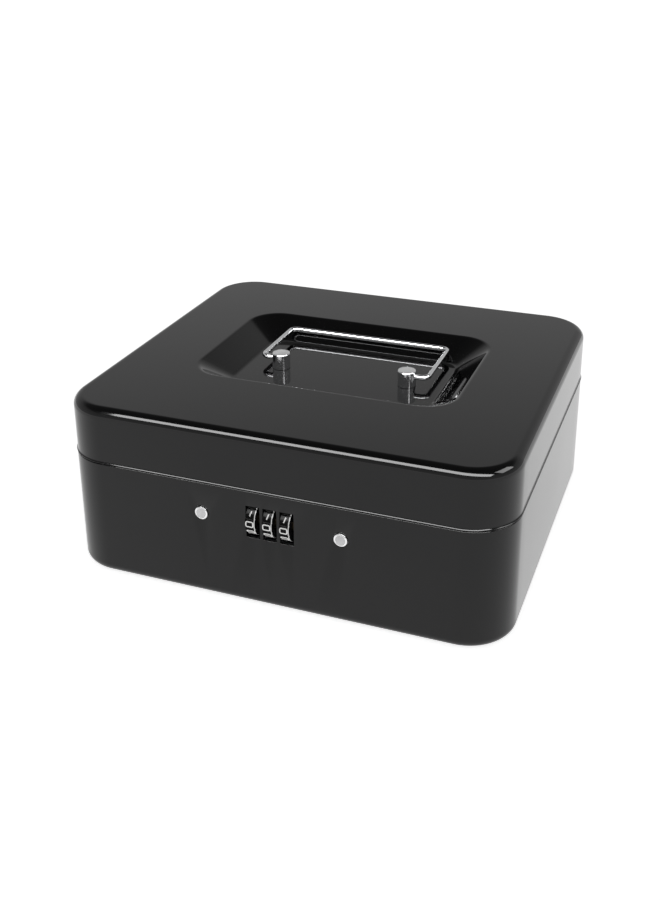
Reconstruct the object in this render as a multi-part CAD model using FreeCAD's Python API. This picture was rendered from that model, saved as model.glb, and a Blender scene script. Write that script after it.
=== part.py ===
"""Steel cash box with a three-wheel combination lock and a folding wire handle.

Frame: millimetres, +Z up, front towards -Y, origin at the middle of the underside.
"""
import FreeCAD, Part
import math
import os

# ---- overall sizes -------------------------------------------------------------------
box_width = 250.0           # along X, measured over the lid
box_depth = 225.0           # along Y, measured over the lid
box_height = 100.0          # floor to lid top
seam_height = 68.0          # middle of the parting line, and height of the lid hinge axis
sheet = 1.0                 # steel sheet of base and lid

# ---- pressed shells ------------------------------------------------------------------
corner_radius = 27.0        # upright corners, measured on the lid
lid_edge_radius = 5.5       # rolled edge round the lid top
base_edge_radius = 5.0      # rolled edge round the base floor
seam_gap = 0.6              # open line between the lid rim and the base shoulder
base_inset = 0.3            # base skin set in from the lid skin
collar_clearance = 0.5      # between the lid wall and the collar it closes over
collar_height = 7.0         # collar above the middle of the seam

# ---- pan pressed into the lid ---------------------------------------------------------
pan_half_width = 77.0
pan_half_depth = 52.0
pan_centre_y = 2.5
pan_depth = 11.0
pan_wall_run = 16.5         # horizontal run of the sloping walls
pan_corner_radius = 19.0
pan_floor_blend = 6.0
pan_rim_blend = 4.0
pan_corner_taper = 0.55     # corner radius lost per unit of inward slope

# ---- handle --------------------------------------------------------------------------
post_spacing = 77.8
post_y = -3.0
post_diameter = 10.5
post_height = 9.5
post_edge = 0.4
wire_diameter = 3.0
handle_width = 102.0        # between the middles of the two legs
handle_reach = 46.5         # pivot to the middle of the grip bar
handle_bend = 4.0
pivot_below_top = 3.5       # pivot axis below the top of the post
pivot_clearance = 0.05      # radial
foot_engagement = 4.6       # length of wire inside each post
foot_end_gap = 0.5
post_screw_diameter = 4.0
post_screw_gap = 0.4        # screw tip under the wire
post_screw_head_diameter = 7.0
post_screw_head_height = 2.2
post_screw_head_edge = 1.0
post_washer_diameter = 10.0
post_washer_thickness = 1.0

# ---- lid hinges ----------------------------------------------------------------------
hinge_spacing = 150.0
hinge_width = 30.0
hinge_axis_proud = 0.5      # axis behind the lid's rear face
knuckle_diameter = 5.0
lid_knuckle_length = 10.0
knuckle_gap = 0.3
hinge_pin_diameter = 2.4
hinge_pin_clearance = 0.05  # radial
hinge_pin_head_diameter = 3.8
hinge_pin_head_height = 0.8
leaf_thickness = 1.0
leaf_height = 14.0
leaf_relief = 3.0           # leaf edge kept this far from the axis beside the other leaf's knuckle
hinge_window_margin = 0.7

# ---- number wheels --------------------------------------------------------------------
wheel_diameter = 18.6
wheel_thickness = 5.9
wheel_pitch = 9.5
wheel_shift = -0.55         # wheel set to the left in its window, the tumbler on its right
lock_height = 50.0          # wheel axis, buttons and guide pins above the underside
wheel_proud = 2.4           # rim in front of the base skin
wheel_bore_diameter = 7.0
wheel_edge = 0.35
digits_per_wheel = 10
groove_radius = 0.6
window_width = 7.6
window_height = 18.4
shaft_diameter = 3.0
shaft_clearance = 0.05      # radial
shaft_head_diameter = 5.0
shaft_head_thickness = 1.5
shaft_end_gap = 1.5         # head short of the ear with the lever pushed over
tumbler_diameter = 8.6
tumbler_thickness = 1.9
tumbler_flat = 2.7          # axis to each gate flat
sleeve_clearance = 0.05     # radial, tumbler sleeve in the wheel
sleeve_end_gap = 0.5

# ---- push buttons and latch -------------------------------------------------------------
button_spacing = 77.8
button_diameter = 7.4
button_proud = 0.8
button_hole_clearance = 0.35  # radial
button_edge = 0.5
button_stem_diameter = 5.0
button_stem_gap = 0.1
button_shoulder = 1.0       # collar behind the clip
clip_diameter = 10.6
clip_thickness = 0.8
clip_gap = 0.2
clip_mouth = 3.2
clip_groove_clearance = 0.05
latch_sheet = 1.2
latch_pad_inner = 28.3      # inner face of the side arms, from the middle
latch_pad_outer = 49.0
latch_setback = 5.5         # latch pads behind the lock frame
pad_below = 6.0             # heights below and above the wheel axis, here and in the lock frame
pad_above = 10.0
nose_width = 6.4
nose_reach = 5.2            # nose tip in front of its pad
nose_tip = 0.8
nose_rise = 4.0             # height of the striker window above the nose's underside
nose_top_gap = 0.4
arm_height = 8.0
bridge_gap = 3.5            # clear space between the wheels and the latch bridge

# ---- strikers on the lid ------------------------------------------------------------------
striker_sheet = 1.2
striker_width = 14.0
striker_lap = 4.1           # lower end under the top of the latch pads
striker_step_gap = 3.0      # step above the collar
striker_flange_height = 13.0
striker_collar_gap = 0.8
striker_window_width = 8.0
striker_play = 0.6          # lift before the nose holds the striker

# ---- lock frame, cover and springs ----------------------------------------------------------
frame_sheet = 1.0
frame_half_width = 57.0
frame_below = 19.0
frame_above = 14.4
ear_inner = 16.0
ear_sheet = 1.2
ear_below = 7.0
ear_above = 8.0
ear_behind_axis = 5.5
standoff_x = 53.0
standoff_below = 13.5
standoff_above = 10.0
standoff_diameter = 6.0
lock_depth = 26.0           # base wall to the inside of the cover's back
cover_wall = 1.5
cover_side_gap = 0.5
cover_end_gap = 0.5         # cover's inside above and below the frame
cover_front_gap = 0.1
cover_slot_margin = 0.6
cover_slot_depth = 4.7
cover_screw_diameter = 3.0
cover_screw_depth = 8.0
cover_screw_head_diameter = 5.6
cover_screw_head_height = 1.8
screw_fit = 0.05            # radial, screws, rivets and pins in their own holes
loose_fit = 0.2             # radial, screw holes in sheet and plastic
driver_slot = 0.9           # width and depth of the slots in screw heads
driver_cross = 0.8
sheet_bend = 1.2            # round corners of the cover
guide_pin_diameter = 3.0
guide_pin_clearance = 0.1   # radial, latch on its pins
guide_pin_x = 46.3
guide_pin_length = 22.0
guide_pin_head_diameter = 6.0
guide_pin_head_thickness = 1.4
spring_wire = 0.6
spring_diameter = 5.0       # outside
spring_turns = 6
spring_end_gap = 0.1
fence_below = 14.0
fence_sheet = 1.2
fence_half_width = 16.0
fence_upstand_above = 2.0
finger_width = 1.5
finger_thickness = 1.0
finger_ahead = 4.0          # front of the fingers ahead of the wheel axis
finger_clearance = 0.3      # finger tip under a gate flat
rivet_diameter = 2.5
rivet_head_diameter = 4.4
rivet_head_height = 0.8
rivet_x = 12.0
rivet_below = 2.0
detent_sheet = 0.4
detent_gap = 0.3
detent_half_width = 15.0
detent_root = 3.2
detent_finger_width = 4.0

# ---- code-change lever ---------------------------------------------------------------------
lever_x = 21.5
lever_sheet = 1.2
lever_travel = 2.0
lever_arm_above = 3.5
lever_arm_height = 4.0
lever_hub_half = 4.5
lever_knob_width = 5.0
lever_knob_depth = 3.5
lever_knob_height = 8.0
lever_knob_edge = 0.8
lever_slot_clearance = 0.4
lever_knob_gap = 0.4

# ---- coin tray ------------------------------------------------------------------------------
tray_side_gap = 5.5         # to the collar
tray_back_gap = 4.0
tray_front_gap = 5.8        # to the knob of the lever
tray_top_gap = 5.8          # under the heads of the post screws
tray_height = 33.0
tray_wall = 2.2
tray_corner_radius = 14.0
cup_corner_radius = 7.0
cup_floor_radius = 6.0
coin_cups = 5
note_cups = 2
coin_cup_depth = 82.0
ledge_sheet = 1.2
ledge_width = 9.5
ledge_leg = 12.0
ledge_setback = 16.0        # front end behind the front of the tray
ledge_corner_gap = 1.5        # ledge end short of the rounded rear corner
tray_seat_gap = 0.02

# ---- cutting -----------------------------------------------------------------------------------
overrun = 1.0               # how far a cutting shape runs past the face it cuts

# ---- derived places ---------------------------------------------------------------------------
half_width = box_width / 2
half_depth = box_depth / 2
shoulder_top = seam_height - seam_gap / 2
lid_rim = seam_height + seam_gap / 2
collar_inset = sheet + collar_clearance
collar_inner = collar_inset + sheet
collar_top = seam_height + collar_height
base_front = -half_depth + base_inset
wall_inside = base_front + sheet
frame_back = wall_inside + frame_sheet
hinge_y = half_depth + hinge_axis_proud

pan_floor = box_height - pan_depth
post_top = pan_floor + post_height
pivot_height = post_top - pivot_below_top
post_screw_seat = pan_floor - sheet - post_washer_thickness
post_screw_depth = post_height - pivot_below_top - wire_diameter / 2 - post_screw_gap

wheel_height = lock_height
button_height = lock_height
guide_pin_height = lock_height
wheel_radius = wheel_diameter / 2
wheel_y = base_front - wheel_proud + wheel_radius
window_centres = [(index - 1) * wheel_pitch for index in range(3)]
wheel_centres = [x + wheel_shift for x in window_centres]

frame_bottom = wheel_height - frame_below
frame_top = wheel_height + frame_above
ear_bottom = wheel_height - ear_below
ear_top = wheel_height + ear_above
standoff_low = wheel_height - standoff_below
standoff_high = wheel_height + standoff_above
cover_bottom = frame_bottom - cover_end_gap - cover_wall
cover_top = frame_top + cover_end_gap + cover_wall
cover_inside = wall_inside + lock_depth
cover_outside = cover_inside + cover_wall

pad_front = frame_back + latch_setback
pad_back = pad_front + latch_sheet
pad_bottom = wheel_height - pad_below
pad_top = wheel_height + pad_above
nose_bottom = pad_top
bridge_front = wheel_y + wheel_radius + bridge_gap
bridge_back = bridge_front + latch_sheet
striker_front = -half_depth + collar_inner + striker_collar_gap
striker_back = striker_front + striker_sheet
striker_bottom = pad_top - striker_lap
striker_flange_bottom = collar_top + striker_step_gap
striker_flange_top = striker_flange_bottom + striker_flange_height
fence_front = wheel_y - finger_ahead
fence_plate_bottom = wheel_height - fence_below
fence_upstand_top = wheel_height + fence_upstand_above
finger_top = wheel_height - tumbler_flat - finger_clearance
rivet_height = wheel_height - rivet_below
lever_arm_bottom = wheel_height + lever_arm_above
lever_arm_top = lever_arm_bottom + lever_arm_height

tray_half_width = half_width - collar_inner - tray_side_gap
tray_back = half_depth - collar_inner - tray_back_gap
tray_front = cover_outside + lever_knob_gap + lever_knob_depth + tray_front_gap
tray_top = post_screw_seat - post_screw_head_height - tray_top_gap
tray_bottom = tray_top - tray_height
ledge_front = tray_front + ledge_setback
ledge_back = half_depth - corner_radius - ledge_corner_gap

AXIS_X = FreeCAD.Vector(1, 0, 0)
AXIS_Y = FreeCAD.Vector(0, 1, 0)
AXIS_Z = FreeCAD.Vector(0, 0, 1)


# ---- shape helpers -----------------------------------------------------------------------------
def vec(x, y, z):
    return FreeCAD.Vector(x, y, z)


def block(x0, x1, y0, y1, z0, z1):
    """Box between two corners."""
    return Part.makeBox(x1 - x0, y1 - y0, z1 - z0, vec(x0, y0, z0))


def rod(radius, length, start, axis):
    return Part.makeCylinder(radius, length, start, axis)


def rounded_outline(half_x, half_y, radius, z, centre_y=0.0):
    """Rectangle with round corners, as a wire in a level plane."""
    corners = ((1, 1, 0), (-1, 1, 90), (-1, -1, 180), (1, -1, 270))
    arcs = []
    for side_x, side_y, start in corners:
        centre = vec(side_x * (half_x - radius), centre_y + side_y * (half_y - radius), z)
        arcs.append(Part.makeCircle(radius, centre, AXIS_Z, start, start + 90))
    edges = []
    for index, arc in enumerate(arcs):
        following = arcs[(index + 1) % len(arcs)]
        edges.append(arc)
        edges.append(Part.makeLine(arc.Vertexes[-1].Point, following.Vertexes[0].Point))
    return Part.Wire(edges)


def rounded_prism(half_x, half_y, radius, z0, z1, centre_y=0.0):
    face = Part.Face(rounded_outline(half_x, half_y, radius, z0, centre_y))
    return face.extrude(vec(0, 0, z1 - z0))


def level_edges(shape, height):
    """Edges that lie wholly at one height."""
    found = []
    for edge in shape.Edges:
        box = edge.BoundBox
        if abs(box.ZMin - height) < 0.001 and abs(box.ZMax - height) < 0.001:
            found.append(edge)
    return found


def profile_x(points, x0, x1):
    """Straight-sided YZ outline extruded along X."""
    corners = [vec(x0, y, z) for y, z in points]
    face = Part.Face(Part.makePolygon(corners + corners[:1]))
    return face.extrude(vec(x1 - x0, 0, 0))


def mirrored(shape):
    return shape.mirror(vec(0, 0, 0), AXIS_X)


def fused(first, *others):
    return first.fuse(list(others)).removeSplitter()


def group(shapes):
    return Part.makeCompound(shapes)


# ---- pressed shells -----------------------------------------------------------------------------
def inset_prism(inset, z0, z1):
    """Block with the box's plan outline, set in from the lid skin."""
    radius = corner_radius - inset
    return rounded_prism(half_width - inset, half_depth - inset, radius, z0, z1)


def hinge_window(x):
    """Opening round one hinge, through the walls at the seam."""
    half = hinge_width / 2 + hinge_pin_head_height + hinge_window_margin
    reach = knuckle_diameter / 2 + hinge_window_margin
    front = half_depth - collar_inner - hinge_window_margin
    back = half_depth + hinge_window_margin
    return block(x - half, x + half, front, back, seam_height - reach, seam_height + reach)


def front_openings():
    """Wheel windows and button holes, long enough for the wall and the frame behind it."""
    cuts = []
    half_window = window_width / 2
    half_tall = window_height / 2
    for x in window_centres:
        cuts.append(block(x - half_window, x + half_window, base_front - overrun, frame_back + overrun,
                          wheel_height - half_tall, wheel_height + half_tall))
    hole_radius = button_diameter / 2 + button_hole_clearance
    for side in (-1, 1):
        start = vec(side * button_spacing / 2, base_front - overrun, button_height)
        cuts.append(rod(hole_radius, frame_back - base_front + 2 * overrun, start, AXIS_Y))
    return cuts


def base_shell():
    outside = inset_prism(base_inset, 0, shoulder_top)
    outside = outside.makeFillet(base_edge_radius, level_edges(outside, 0))
    inner_inset = base_inset + sheet
    inside = inset_prism(inner_inset, sheet, shoulder_top - sheet)
    inside = inside.makeFillet(base_edge_radius - sheet, level_edges(inside, sheet))
    collar = inset_prism(collar_inset, shoulder_top - sheet, collar_top)
    mouth = inset_prism(collar_inner, shoulder_top - 2 * sheet, collar_top + overrun)
    shell = outside.fuse(collar).cut(inside).cut(mouth)
    for side in (-1, 1):
        x = side * hinge_spacing / 2
        shell = shell.cut(hinge_window(x))
        half = hinge_width / 2 + hinge_pin_head_height + 2 * hinge_window_margin
        shell = shell.cut(block(x - half, x + half, half_depth - collar_inner - hinge_window_margin,
                                half_depth - sheet, seam_height, collar_top + overrun))
    shell = shell.cut(front_openings())
    return shell.removeSplitter()


def pan_block(grow, blend):
    """Filled shape of the pan, grown outwards by the given thickness, open towards the top."""
    floor = pan_floor - grow
    slope = pan_wall_run / pan_depth
    side_growth = grow * math.hypot(1, slope) - grow * slope
    rise = 2 * overrun
    top = box_height + rise
    radius = pan_corner_radius + grow
    half_x = pan_half_width + side_growth
    half_y = pan_half_depth + side_growth
    low_shrink = (box_height - floor) * slope
    high_shrink = -rise * slope
    sections = []
    for z, shrink in ((floor, low_shrink), (top, high_shrink)):
        corner = radius - shrink * pan_corner_taper
        sections.append(rounded_outline(half_x - shrink, half_y - shrink, corner, z, pan_centre_y))
    solid = Part.makeLoft(sections, True, True)
    return solid.makeFillet(blend, level_edges(solid, floor))


def lid_shell():
    outside = inset_prism(0, lid_rim, box_height)
    outside = outside.makeFillet(lid_edge_radius, level_edges(outside, box_height))
    inside = inset_prism(sheet, lid_rim, box_height - sheet)
    inside = inside.makeFillet(lid_edge_radius - sheet, level_edges(inside, box_height - sheet))
    pan_outside = pan_block(sheet, pan_floor_blend + sheet)
    pan_inside = pan_block(0, pan_floor_blend)
    shell = outside.cut(inside.cut(pan_outside)).cut(pan_inside)
    rim_edges = []
    for edge in level_edges(shell, box_height):
        box = edge.BoundBox
        within_x = box.XMin > -pan_half_width - overrun and box.XMax < pan_half_width + overrun
        within_y = abs(box.Center.y - pan_centre_y) < pan_half_depth + overrun
        if within_x and within_y:
            rim_edges.append(edge)
    shell = shell.makeFillet(pan_rim_blend, rim_edges)
    for side in (-1, 1):
        shell = shell.cut(hinge_window(side * hinge_spacing / 2))
        hole = rod(post_screw_diameter / 2 + loose_fit, 3 * sheet,
                   vec(side * post_spacing / 2, post_y, pan_floor - 2 * sheet), AXIS_Z)
        shell = shell.cut(hole)
    return shell


# ---- hinges ---------------------------------------------------------------------------------------
def knuckle(x0, x1):
    return rod(knuckle_diameter / 2, x1 - x0, vec(x0, hinge_y, seam_height), AXIS_X)


def hinge_bore(x):
    radius = hinge_pin_diameter / 2 + hinge_pin_clearance
    start = vec(x - hinge_width / 2 - overrun, hinge_y, seam_height)
    return rod(radius, hinge_width + 2 * overrun, start, AXIS_X)


def base_leaf(x):
    half = hinge_width / 2
    inner = lid_knuckle_length / 2 + knuckle_gap
    plate_back = half_depth - base_inset - sheet
    plate_front = plate_back - leaf_thickness
    strip_bottom = seam_height - knuckle_diameter / 2
    plate_top = seam_height - leaf_relief
    leaf = block(x - half, x + half, plate_front, plate_back, plate_top - leaf_height, plate_top)
    for x0, x1 in ((x - half, x - inner), (x + inner, x + half)):
        strip = block(x0, x1, plate_front, hinge_y, strip_bottom, strip_bottom + leaf_thickness)
        web = block(x0, x1, plate_front, plate_back, plate_top - overrun, strip_bottom + leaf_thickness)
        leaf = fused(leaf, strip, web, knuckle(x0, x1))
    return leaf.cut(hinge_bore(x))


def lid_leaf(x):
    half = hinge_width / 2
    inner = lid_knuckle_length / 2
    plate_back = half_depth - sheet
    plate_front = plate_back - leaf_thickness
    strip_top = seam_height + knuckle_diameter / 2
    plate_bottom = seam_height + leaf_relief
    leaf = block(x - half, x + half, plate_front, plate_back, plate_bottom, plate_bottom + leaf_height)
    strip = block(x - inner, x + inner, plate_front, hinge_y, strip_top - leaf_thickness, strip_top)
    web = block(x - inner, x + inner, plate_front, plate_back, strip_top - leaf_thickness,
                plate_bottom + overrun)
    leaf = fused(leaf, strip, web, knuckle(x - inner, x + inner))
    return leaf.cut(hinge_bore(x))


def hinge_pin(x):
    half = hinge_width / 2
    shank = rod(hinge_pin_diameter / 2, hinge_width, vec(x - half, hinge_y, seam_height), AXIS_X)
    heads = []
    for start in (x - half - hinge_pin_head_height, x + half):
        heads.append(rod(hinge_pin_head_diameter / 2, hinge_pin_head_height,
                         vec(start, hinge_y, seam_height), AXIS_X))
    return fused(shank, *heads)


# ---- handle ---------------------------------------------------------------------------------------
def handle_post(side):
    x = side * post_spacing / 2
    radius = post_diameter / 2
    post = rod(radius, post_height, vec(x, post_y, pan_floor), AXIS_Z)
    post = post.makeChamfer(post_edge, level_edges(post, post_top))
    pivot_radius = wire_diameter / 2 + pivot_clearance
    hole_depth = foot_engagement + foot_end_gap
    hole_start = vec(x + side * (radius - hole_depth), post_y, pivot_height)
    pivot = rod(pivot_radius, hole_depth + overrun, hole_start, AXIS_X * side)
    thread = rod(post_screw_diameter / 2 + screw_fit, post_screw_depth + foot_end_gap / 2,
                 vec(x, post_y, pan_floor), AXIS_Z)
    return post.cut([pivot, thread])


def post_washers():
    rings = []
    for side in (-1, 1):
        start = vec(side * post_spacing / 2, post_y, post_screw_seat)
        ring = rod(post_washer_diameter / 2, post_washer_thickness, start, AXIS_Z)
        hole = rod(post_screw_diameter / 2 + loose_fit, 2 * post_washer_thickness, start, AXIS_Z)
        rings.append(ring.cut(hole))
    return group(rings)


def post_screws():
    screws = []
    for side in (-1, 1):
        seat = post_screw_seat
        x = side * post_spacing / 2
        head = rod(post_screw_head_diameter / 2, post_screw_head_height,
                   vec(x, post_y, seat - post_screw_head_height), AXIS_Z)
        head = head.makeFillet(post_screw_head_edge, level_edges(head, seat - post_screw_head_height))
        length = pan_floor + post_screw_depth - seat
        shank = rod(post_screw_diameter / 2, length, vec(x, post_y, seat), AXIS_Z)
        half = post_screw_head_diameter / 2 + overrun
        bottom = seat - post_screw_head_height
        slot = block(x - driver_slot / 2, x + driver_slot / 2, post_y - half, post_y + half,
                     bottom, bottom + driver_slot)
        screws.append(fused(head, shank).cut(slot))
    return group(screws)


def handle_bail():
    """Round wire bent into a bail, lying back level with its pivots."""
    leg = handle_width / 2
    foot = post_spacing / 2 + post_diameter / 2 - foot_engagement
    far = post_y + handle_reach
    bend = handle_bend
    z = pivot_height

    def quarter(x, y, start):
        return Part.makeCircle(bend, vec(x, y, z), AXIS_Z, start, start + 90)

    edges = [
        Part.makeLine(vec(foot, post_y, z), vec(leg - bend, post_y, z)),
        quarter(leg - bend, post_y + bend, 270),
        Part.makeLine(vec(leg, post_y + bend, z), vec(leg, far - bend, z)),
        quarter(leg - bend, far - bend, 0),
        Part.makeLine(vec(leg - bend, far, z), vec(bend - leg, far, z)),
        quarter(bend - leg, far - bend, 90),
        Part.makeLine(vec(-leg, far - bend, z), vec(-leg, post_y + bend, z)),
        quarter(bend - leg, post_y + bend, 180),
        Part.makeLine(vec(bend - leg, post_y, z), vec(-foot, post_y, z)),
    ]
    section = Part.Wire(Part.makeCircle(wire_diameter / 2, vec(foot, post_y, z), AXIS_X))
    return Part.Wire(edges).makePipeShell([section], True, False)


# ---- strikers -------------------------------------------------------------------------------------
def striker(side):
    x = side * button_spacing / 2
    half = striker_width / 2
    wall = -half_depth + sheet
    flange = block(x - half, x + half, wall, wall + striker_sheet,
                   striker_flange_bottom, striker_flange_top)
    step = block(x - half, x + half, wall, striker_back,
                 striker_flange_bottom, striker_flange_bottom + striker_sheet)
    blade = block(x - half, x + half, striker_front, striker_back,
                  striker_bottom, striker_flange_bottom + striker_sheet)
    window_bottom = nose_bottom - striker_play
    window = block(x - striker_window_width / 2, x + striker_window_width / 2,
                   striker_front - overrun, striker_back + overrun, window_bottom, nose_bottom + nose_rise)
    return fused(flange, step, blade).cut(window)


# ---- lock frame, cover and fasteners ---------------------------------------------------------------
def standoff_places():
    places = []
    for side in (-1, 1):
        for height in (standoff_low, standoff_high):
            places.append((side * standoff_x, height))
    return places


def lock_frame():
    plate = block(-frame_half_width, frame_half_width, wall_inside, frame_back, frame_bottom, frame_top)
    plate = plate.cut(front_openings())
    ears = []
    for side in (-1, 1):
        x0 = min(side * ear_inner, side * (ear_inner + ear_sheet))
        ear = block(x0, x0 + ear_sheet, wall_inside, wheel_y + ear_behind_axis, ear_bottom, ear_top)
        ears.append(ear)
    posts = []
    holes = []
    for x, height in standoff_places():
        start = vec(x, frame_back, height)
        posts.append(rod(standoff_diameter / 2, cover_inside - frame_back, start, AXIS_Y))
        holes.append(rod(cover_screw_diameter / 2 + screw_fit, cover_screw_depth + overrun,
                         vec(x, cover_inside - cover_screw_depth - overrun, height), AXIS_Y))
    for side in (-1, 1):
        start = vec(side * guide_pin_x, wall_inside - overrun, guide_pin_height)
        holes.append(rod(guide_pin_diameter / 2, frame_sheet + 2 * overrun, start, AXIS_Y))
    reach = ear_inner + ear_sheet + overrun
    bore = rod(shaft_diameter / 2 + shaft_clearance, 2 * reach, vec(-reach, wheel_y, wheel_height), AXIS_X)
    return fused(plate, *ears, *posts).cut(holes + [bore])


def lock_cover():
    half = frame_half_width + cover_side_gap + cover_wall
    front = wall_inside + cover_front_gap
    shell = block(-half, half, front, cover_outside, cover_bottom, cover_top)
    upright = [edge for edge in shell.Edges
               if abs(edge.BoundBox.YMax - cover_outside) < 0.001 and edge.BoundBox.YLength < 0.001]
    shell = shell.makeFillet(sheet_bend, upright)
    shell = shell.cut(block(-half + cover_wall, half - cover_wall, front - overrun, cover_inside,
                            cover_bottom + cover_wall, cover_top - cover_wall))
    cuts = []
    for side in (-1, 1):
        x = side * button_spacing / 2
        reach = striker_width / 2 + cover_slot_margin
        cuts.append(block(x - reach, x + reach, front - overrun, front + cover_slot_depth,
                          cover_top - 2 * cover_wall, cover_top + overrun))
    for x, height in standoff_places():
        cuts.append(rod(cover_screw_diameter / 2 + loose_fit, cover_wall + 2 * overrun,
                        vec(x, cover_inside - overrun, height), AXIS_Y))
    slot_end = lever_x + lever_sheet + lever_travel + lever_slot_clearance
    cuts.append(block(lever_x - lever_slot_clearance, slot_end,
                      cover_inside - overrun, cover_outside + overrun,
                      lever_arm_bottom - lever_slot_clearance, lever_arm_top + lever_slot_clearance))
    return shell.cut(cuts)


def cover_screws():
    screws = []
    for x, height in standoff_places():
        head = rod(cover_screw_head_diameter / 2, cover_screw_head_height,
                   vec(x, cover_outside, height), AXIS_Y)
        shank = rod(cover_screw_diameter / 2, cover_screw_depth + cover_wall,
                    vec(x, cover_inside - cover_screw_depth, height), AXIS_Y)
        reach = cover_screw_head_diameter / 4
        half = driver_cross / 2
        floor = cover_outside + cover_screw_head_height - driver_slot
        above = cover_outside + cover_screw_head_height + overrun
        cross = [block(x - reach, x + reach, floor, above, height - half, height + half),
                 block(x - half, x + half, floor, above, height - reach, height + reach)]
        screws.append(fused(head, shank).cut(cross))
    return group(screws)


def guide_pins():
    pins = []
    for side in (-1, 1):
        x = side * guide_pin_x
        shank = rod(guide_pin_diameter / 2, frame_sheet + guide_pin_length,
                    vec(x, wall_inside, guide_pin_height), AXIS_Y)
        head = rod(guide_pin_head_diameter / 2, guide_pin_head_thickness,
                   vec(x, frame_back + guide_pin_length - guide_pin_head_thickness, guide_pin_height), AXIS_Y)
        pins.append(fused(shank, head))
    return group(pins)


def latch_springs():
    """Compression springs between the latch pads and the heads of the guide pins."""
    coil_radius = (spring_diameter - spring_wire) / 2
    start = pad_back + spring_end_gap + spring_wire / 2
    end = frame_back + guide_pin_length - guide_pin_head_thickness - spring_end_gap - spring_wire / 2
    pitch = (end - start) / spring_turns
    springs = []
    for side in (-1, 1):
        path = Part.makeHelix(pitch, end - start, coil_radius)
        section = Part.Wire(Part.makeCircle(spring_wire / 2, vec(coil_radius, 0, 0), AXIS_Y))
        coil = Part.Wire(path.Edges).makePipeShell([section], True, True)
        coil.rotate(vec(0, 0, 0), AXIS_X, -90)
        coil.translate(vec(side * guide_pin_x, start, guide_pin_height))
        springs.append(coil)
    return group(springs)


# ---- latch and fence ---------------------------------------------------------------------------------
def latch_half():
    """Pad, hook nose and side arm on the +X side."""
    x = button_spacing / 2
    pad = block(latch_pad_inner, latch_pad_outer, pad_front, pad_back, pad_bottom, pad_top)
    tip = pad_front - nose_reach
    nose_top = nose_bottom + nose_rise - nose_top_gap
    outline = [(pad_back, nose_bottom - latch_sheet), (pad_back, nose_top),
               (pad_front, nose_top), (tip, nose_bottom + nose_tip),
               (tip, nose_bottom), (pad_front, nose_bottom), (pad_front, nose_bottom - latch_sheet)]
    nose = profile_x(outline, x - nose_width / 2, x + nose_width / 2)
    arm = block(latch_pad_inner, latch_pad_inner + latch_sheet, pad_front, bridge_back,
                pad_bottom, pad_bottom + arm_height)
    return fused(pad, nose, arm)


def latch_slide():
    right = latch_half()
    bridge = block(-latch_pad_inner - latch_sheet, latch_pad_inner + latch_sheet,
                   bridge_front, bridge_back, pad_bottom, pad_bottom + arm_height)
    slide = fused(right, mirrored(right), bridge)
    cuts = []
    for side in (-1, 1):
        cuts.append(rod(guide_pin_diameter / 2 + guide_pin_clearance, 3 * latch_sheet,
                        vec(side * guide_pin_x, pad_front - latch_sheet, guide_pin_height), AXIS_Y))
        cuts.append(rod(rivet_diameter / 2 + screw_fit, 3 * latch_sheet,
                        vec(side * rivet_x, bridge_front - latch_sheet, rivet_height), AXIS_Y))
    return slide.cut(cuts)


def fence_comb():
    """Comb under the wheels: one finger stands below and in front of each gate tumbler."""
    floor = block(-fence_half_width, fence_half_width, fence_front, bridge_back + fence_sheet,
                  fence_plate_bottom, fence_plate_bottom + fence_sheet)
    upstand = block(-fence_half_width, fence_half_width, bridge_back, bridge_back + fence_sheet,
                    fence_plate_bottom, fence_upstand_top)
    fingers = []
    for x in wheel_centres:
        middle = x + wheel_pitch / 2
        fingers.append(block(middle - finger_width / 2, middle + finger_width / 2,
                             fence_front, fence_front + finger_thickness, fence_plate_bottom, finger_top))
    comb = fused(floor, upstand, *fingers)
    holes = [rod(rivet_diameter / 2 + screw_fit, 3 * fence_sheet,
                 vec(side * rivet_x, bridge_back - fence_sheet, rivet_height), AXIS_Y) for side in (-1, 1)]
    return comb.cut(holes)


def fence_rivets():
    rivets = []
    for side in (-1, 1):
        grip = latch_sheet + fence_sheet
        start = vec(side * rivet_x, bridge_front, rivet_height)
        shank = rod(rivet_diameter / 2, grip, start, AXIS_Y)
        front = rod(rivet_head_diameter / 2, rivet_head_height, start - AXIS_Y * rivet_head_height, AXIS_Y)
        back = rod(rivet_head_diameter / 2, rivet_head_height, start + AXIS_Y * grip, AXIS_Y)
        rivets.append(fused(shank, front, back))
    return group(rivets)


def button(side):
    x = side * button_spacing / 2
    front = base_front - button_proud
    radius = button_diameter / 2
    clip_front = frame_back + clip_gap
    head = rod(radius, frame_back + clip_gap - front, vec(x, front, button_height), AXIS_Y)
    rim = [edge for edge in head.Edges if edge.BoundBox.YMax < front + 0.001]
    head = head.makeChamfer(button_edge, rim)
    groove_end = clip_front + clip_thickness
    stem = rod(button_stem_diameter / 2, pad_front - button_stem_gap - front - overrun,
               vec(x, front + overrun, button_height), AXIS_Y)
    shoulder = rod(radius, button_shoulder, vec(x, groove_end, button_height), AXIS_Y)
    return fused(head, stem, shoulder)


def button_clip(side):
    x = side * button_spacing / 2
    start = vec(x, frame_back + clip_gap, button_height)
    ring = rod(clip_diameter / 2, clip_thickness, start, AXIS_Y)
    length = clip_thickness + 2 * overrun
    hole = rod(button_stem_diameter / 2 + clip_groove_clearance, length, start - AXIS_Y * overrun, AXIS_Y)
    half = clip_mouth / 2
    mouth = block(x - half, x + half, start.y - overrun, start.y + length - overrun,
                  button_height - clip_diameter, button_height)
    return ring.cut([hole, mouth])


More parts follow.
